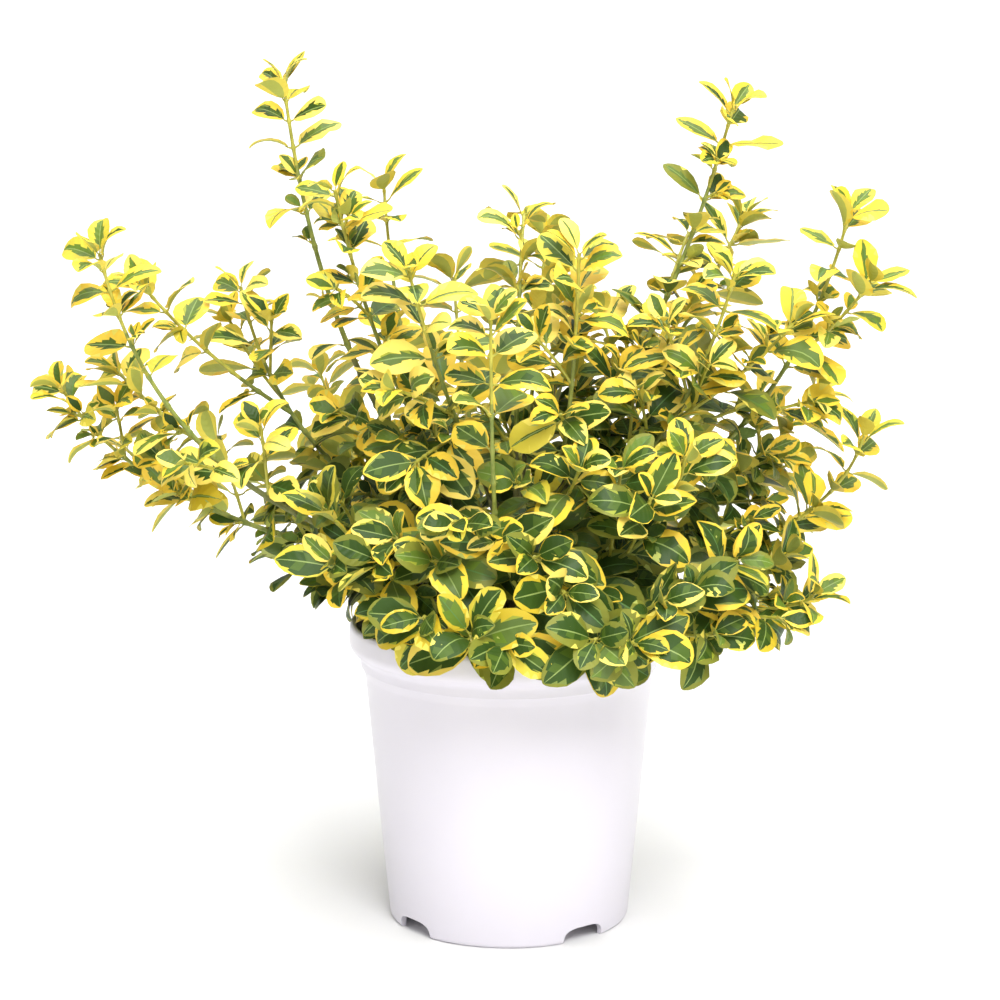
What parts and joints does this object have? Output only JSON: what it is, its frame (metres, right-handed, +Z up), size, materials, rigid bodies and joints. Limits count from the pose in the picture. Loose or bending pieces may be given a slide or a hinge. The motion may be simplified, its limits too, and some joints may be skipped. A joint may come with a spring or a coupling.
{
  "type": "potted wintercreeper euonymus",
  "caption": "Low, spreading evergreen shrub with yellow-edged green leaves, standing in a round white nursery pot filled with bark mix.",
  "frame": {"origin": "centre of the pot's flat underside, which stands on the ground", "axes": "+Z up along the pot's axis; the pictured front faces -Y, with +X to the right of the picture"},
  "size_m": [0.4395, 0.3354, 0.444],
  "materials": {
    "pot_white": "satin white moulded plastic",
    "bark_mix": "rough brown bark chips and peat",
    "bark": "dull olive-brown bark",
    "young_bark": "smooth green young bark",
    "variegated_leaf": "leathery leaf, yellow edge round a green middle"
  },
  "bodies": {
    "root": {"pot": "pot_white", "potting_mix": "bark_mix", "main_stem": "bark", "left_low_bough": "young_bark", "left_low_foliage": "variegated_leaf", "left_outer_bough": "young_bark", "left_outer_foliage": "variegated_leaf", "left_mid_bough": "young_bark", "left_mid_foliage": "variegated_leaf", "left_tall_bough": "young_bark", "left_tall_foliage": "variegated_leaf", "left_inner_bough": "young_bark", "left_inner_foliage": "variegated_leaf", "left_back_bough": "young_bark", "left_back_foliage": "variegated_leaf", "left_centre_bough": "young_bark", "left_centre_foliage": "variegated_leaf", "centre_left_bough": "young_bark", "centre_left_foliage": "variegated_leaf", "centre_back_bough": "young_bark", "centre_back_foliage": "variegated_leaf", "centre_bough": "young_bark", "centre_foliage": "variegated_leaf", "centre_front_bough": "young_bark", "centre_front_foliage": "variegated_leaf", "right_tall_bough": "young_bark", "right_tall_foliage": "variegated_leaf", "right_inner_bough": "young_bark", "right_inner_foliage": "variegated_leaf", "right_mid_bough": "young_bark", "right_mid_foliage": "variegated_leaf", "right_outer_bough": "young_bark", "right_outer_foliage": "variegated_leaf", "right_low_bough": "young_bark", "right_low_foliage": "variegated_leaf", "right_side_bough": "young_bark", "right_side_foliage": "variegated_leaf", "right_droop_bough": "young_bark", "right_droop_foliage": "variegated_leaf", "back_left_bough": "young_bark", "back_left_foliage": "variegated_leaf", "back_middle_bough": "young_bark", "back_middle_foliage": "variegated_leaf", "back_right_bough": "young_bark", "back_right_foliage": "variegated_leaf", "back_upper_bough": "young_bark", "back_upper_foliage": "variegated_leaf", "front_right_foliage": "variegated_leaf", "front_left_foliage": "variegated_leaf", "front_middle_foliage": "variegated_leaf", "front_left_upper_foliage": "variegated_leaf", "front_right_upper_foliage": "variegated_leaf", "left_lower_foliage": "variegated_leaf", "right_front_foliage": "variegated_leaf", "left_rim_foliage": "variegated_leaf", "back_left_rim_foliage": "variegated_leaf", "back_rim_foliage": "variegated_leaf", "back_right_rim_foliage": "variegated_leaf", "inner_front_foliage": "variegated_leaf"}
  },
  "joints": []
}
